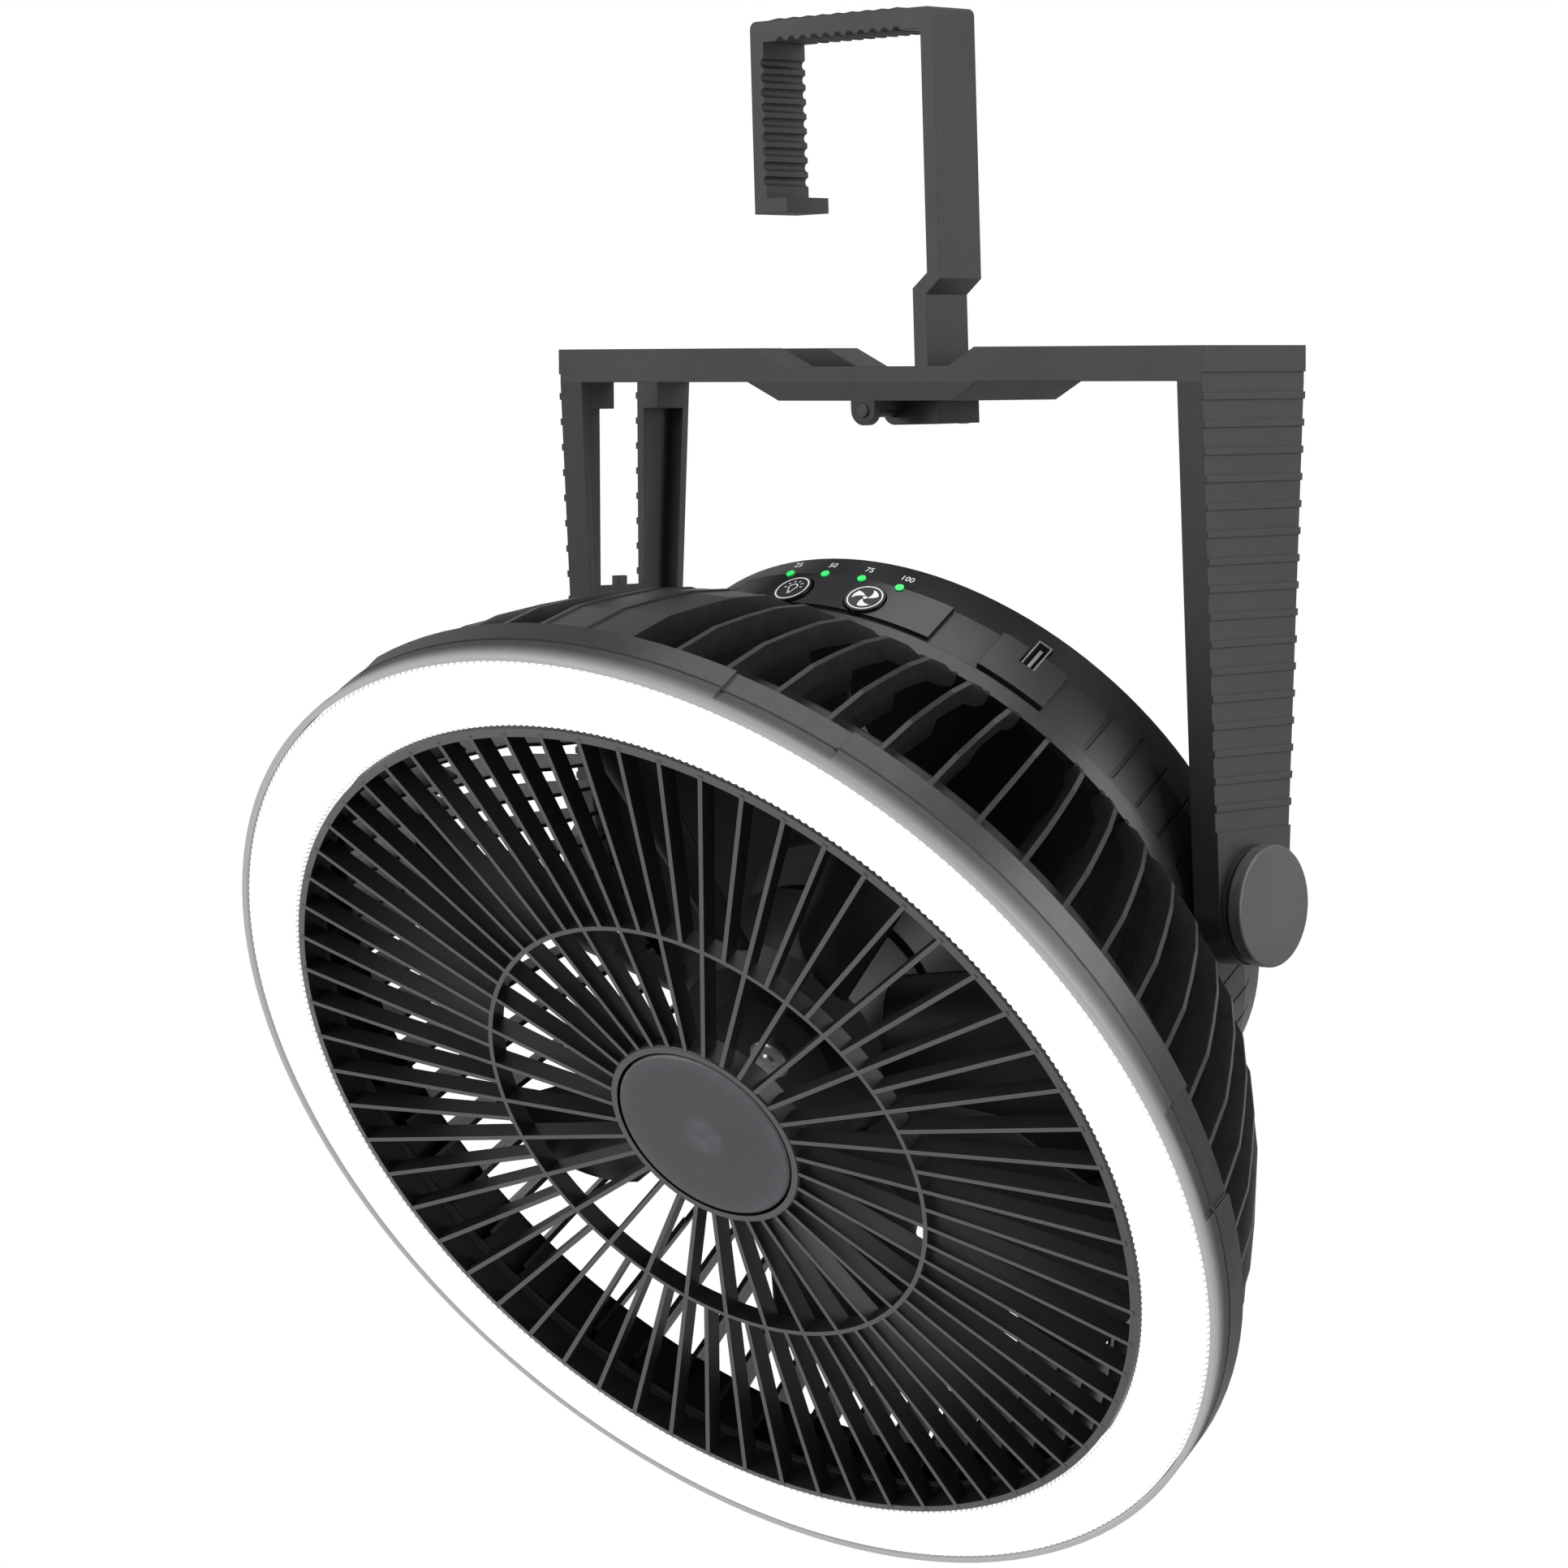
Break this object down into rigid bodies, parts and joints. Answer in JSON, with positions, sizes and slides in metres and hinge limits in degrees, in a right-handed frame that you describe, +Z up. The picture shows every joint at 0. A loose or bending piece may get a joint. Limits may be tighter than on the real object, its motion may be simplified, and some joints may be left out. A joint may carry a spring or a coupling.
{
  "type": "camping fan",
  "caption": "Portable hanging camping fan: tilting round fan head with LED ring light, U-shaped stand and folding hook with a ribbed seat.",
  "frame": {"origin": "the hook's seat: the middle of the underside of the hook's top bar, where it rests on a line or branch", "axes": "+Z up, +X along the crossbar towards the arm without the window, -Y the way the grille faces"},
  "size_m": [0.2546, 0.2011, 0.3569],
  "materials": {
    "charcoal_plastic": "fine satin moulded ABS",
    "grille_grey": "satin moulded ABS",
    "cap_grey": "satin moulded ABS",
    "panel_gloss": "gloss",
    "inner_black": "satin",
    "steel": "turned",
    "circuit_board": "white solder mask",
    "cell_wrap": "shrink wrap",
    "charge_green": "lit lens",
    "lens_white": "frosted, lit"
  },
  "bodies": {
    "hook": {"hook": "charcoal_plastic"},
    "stand": {"stand_frame": "charcoal_plastic", "hook_pin": "steel", "pivot_ring_left": "charcoal_plastic", "pivot_ring_right": "charcoal_plastic", "pivot_cap_left": "cap_grey", "pivot_cap_right": "cap_grey"},
    "head": {"rear_housing": "charcoal_plastic", "port_surround": "charcoal_plastic", "charging_port": "steel", "control_panel": "panel_gloss", "light_switch": "inner_black", "fan_switch": "inner_black", "charge_light_1": "charge_green", "charge_light_2": "charge_green", "charge_light_3": "charge_green", "charge_light_4": "charge_green", "control_board": "circuit_board", "battery_cell_1": "cell_wrap", "battery_cell_2": "cell_wrap", "battery_cell_3": "cell_wrap", "battery_cell_4": "cell_wrap", "motor_plate": "inner_black", "motor_housing": "inner_black", "louver_shroud": "charcoal_plastic", "front_bezel": "charcoal_plastic", "led_board": "circuit_board", "led_lens": "lens_white", "front_grille": "grille_grey", "grille_cap": "cap_grey", "pivot_screw_left": "steel", "pivot_screw_right": "steel"},
    "rotor": {"impeller": "inner_black", "motor_shaft": "steel", "rotor_nut": "steel"},
    "light_button": {"light_button": "panel_gloss"},
    "fan_button": {"fan_button": "panel_gloss"}
  },
  "joints": [
    {"name": "hook_fold", "type": "hinge", "parent": "hook", "child": "stand", "pos_m": [0.01535, 0, -0.08576], "axis": [0, 1, 0], "range_deg": [-1.8, 88.2]},
    {"name": "head_tilt", "type": "hinge", "parent": "stand", "child": "head", "pos_m": [0.01685, 0, -0.19496], "axis": [1, 0, 0], "range_deg": [-32.25, 147.75]},
    {"name": "fan_spin", "type": "hinge", "parent": "head", "child": "rotor", "pos_m": [0.01685, 0, -0.19496], "axis": [0, -0.8457, -0.5336], "continuous": true},
    {"name": "light_press", "type": "slide", "parent": "head", "child": "light_button", "axis": [0.0148, 0.5336, -0.8456], "range_m": [0, 0.0008], "stiffness_N_per_m": 500, "springref_m": -0.001},
    {"name": "fan_press", "type": "slide", "parent": "head", "child": "fan_button", "axis": [-0.2224, 0.5203, -0.8245], "range_m": [0, 0.0008], "stiffness_N_per_m": 500, "springref_m": -0.001}
  ]
}
